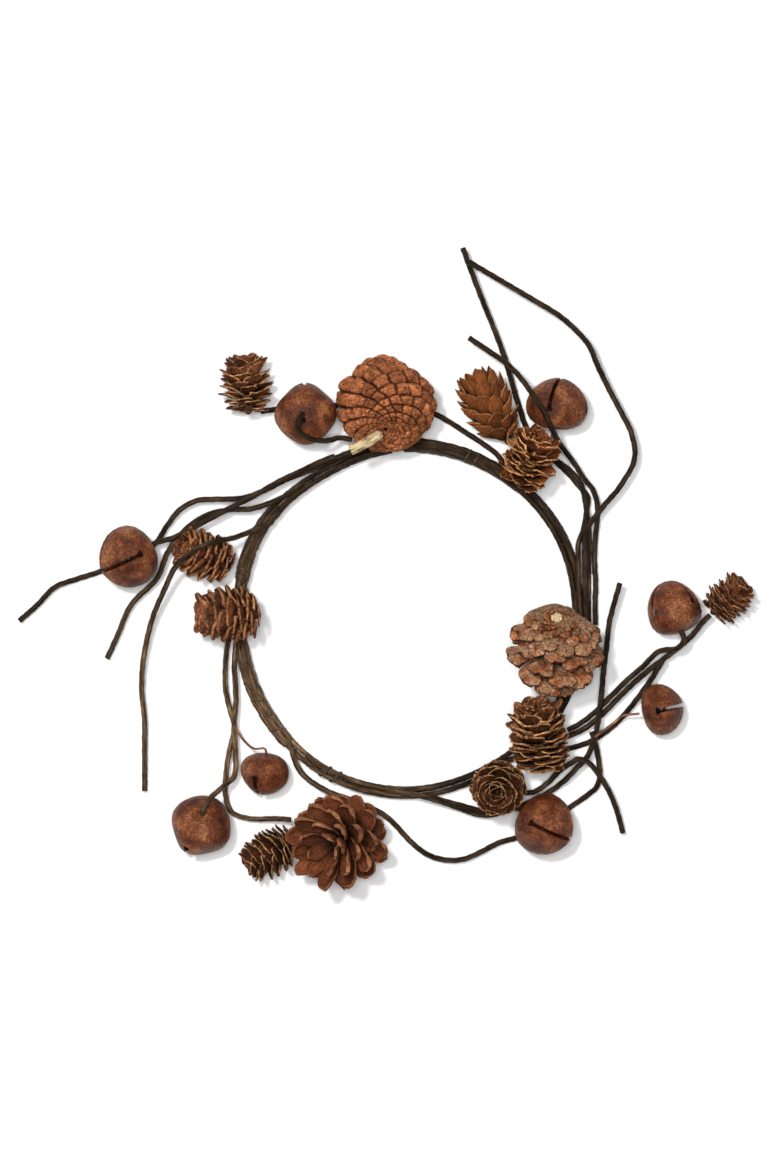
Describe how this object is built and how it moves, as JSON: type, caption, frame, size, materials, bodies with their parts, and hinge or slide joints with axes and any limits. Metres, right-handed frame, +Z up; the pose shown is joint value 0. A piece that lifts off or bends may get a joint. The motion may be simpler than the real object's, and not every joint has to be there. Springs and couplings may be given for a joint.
{
  "type": "pinecone wreath",
  "caption": "Candle-ring wreath of taped wire stems with pine cones, small larch cones and rusty jingle bells, lying flat round a table candle.",
  "frame": {"origin": "on the surface that the wreath lies on, under the middle of its outline", "axes": "+Z up from that surface, +X to the right and +Y to the top of the picture, which looks straight down"},
  "size_m": [0.3539, 0.3084, 0.0535],
  "materials": {
    "taped_stem": "steel wire wrapped in a spiral of brown floral paper tape, matt",
    "copper_wire": "thin copper-coloured wire, dulled",
    "binding_wire": "thin dark annealed wire",
    "closed_cone": "dry woody scales, warm orange brown, matt",
    "open_cone": "dry open woody scales, dark inside with pale rims, matt",
    "small_cone": "dry thin scales, red brown with pale tan edges, matt",
    "rusty_bell": "thin steel shell with an even coat of orange and dark rust",
    "steel_pellet": "dull steel ball"
  },
  "bodies": {
    "root": {"hoop_wire": "taped_stem", "stem_long_left": "taped_stem", "stem_left_low": "taped_stem", "stem_down_left": "taped_stem", "stem_bell_8": "taped_stem", "stem_cone_g": "taped_stem", "stem_bell_6": "taped_stem", "stem_long_bottom": "taped_stem", "stem_bell_3": "taped_stem", "stem_lower_right": "taped_stem", "stem_cone_f": "taped_stem", "stem_bell_4": "taped_stem", "stem_beside_bell_5": "taped_stem", "stem_cone_e": "taped_stem", "stem_top_inner": "taped_stem", "stem_top_outer": "taped_stem", "stem_over_bell_2": "taped_stem", "stem_cone_1": "taped_stem", "stem_cone_b": "taped_stem", "stem_bell_1": "taped_stem", "stem_cone_a": "taped_stem", "copper_wire_bell_2": "copper_wire", "copper_wire_bell_7": "copper_wire", "copper_wire_bell_5": "copper_wire", "binding_wire_left": "binding_wire", "binding_wire_upper_left": "binding_wire", "binding_wire_top": "binding_wire", "binding_wire_bottom": "binding_wire", "big_cone_1": "closed_cone", "big_cone_2": "closed_cone", "big_cone_3": "open_cone", "small_cone_a": "small_cone", "small_cone_b": "closed_cone", "small_cone_c": "small_cone", "small_cone_d": "small_cone", "small_cone_e": "small_cone", "small_cone_f": "small_cone", "small_cone_g": "small_cone", "small_cone_h": "small_cone", "small_cone_i": "small_cone", "bell_1": "rusty_bell", "bell_2": "rusty_bell", "bell_3": "rusty_bell", "bell_4": "rusty_bell", "bell_5": "rusty_bell", "bell_6": "rusty_bell", "bell_7": "rusty_bell", "bell_8": "rusty_bell", "pellet_1": "steel_pellet", "pellet_2": "steel_pellet", "pellet_3": "steel_pellet", "pellet_4": "steel_pellet", "pellet_5": "steel_pellet", "pellet_6": "steel_pellet", "pellet_7": "steel_pellet", "pellet_8": "steel_pellet"}
  },
  "joints": []
}
